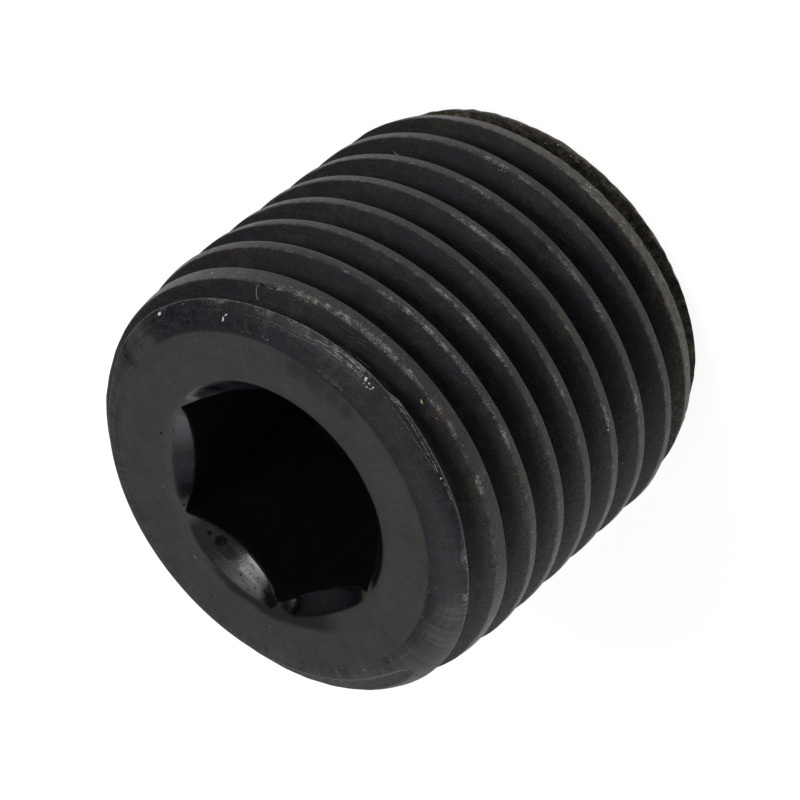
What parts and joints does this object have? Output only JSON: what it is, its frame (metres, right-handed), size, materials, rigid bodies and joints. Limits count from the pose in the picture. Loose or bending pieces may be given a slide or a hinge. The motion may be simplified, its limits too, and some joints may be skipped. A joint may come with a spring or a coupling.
{
  "type": "hex socket pipe plug",
  "caption": "Headless pipe plug with a taper pipe thread over its whole length and a countersunk hexagon socket in its larger end.",
  "frame": {"origin": "centre of the small end's flat face, which the plug stands on", "axes": "+Z along the plug's axis, from the small end to the socket end; +X through a corner of the hexagon"},
  "size_m": [0.0134, 0.0134, 0.012],
  "materials": {
    "black_oxide_steel": "matte black oxide on steel, lightly oiled"
  },
  "bodies": {
    "root": {"plug": "black_oxide_steel"}
  },
  "joints": []
}
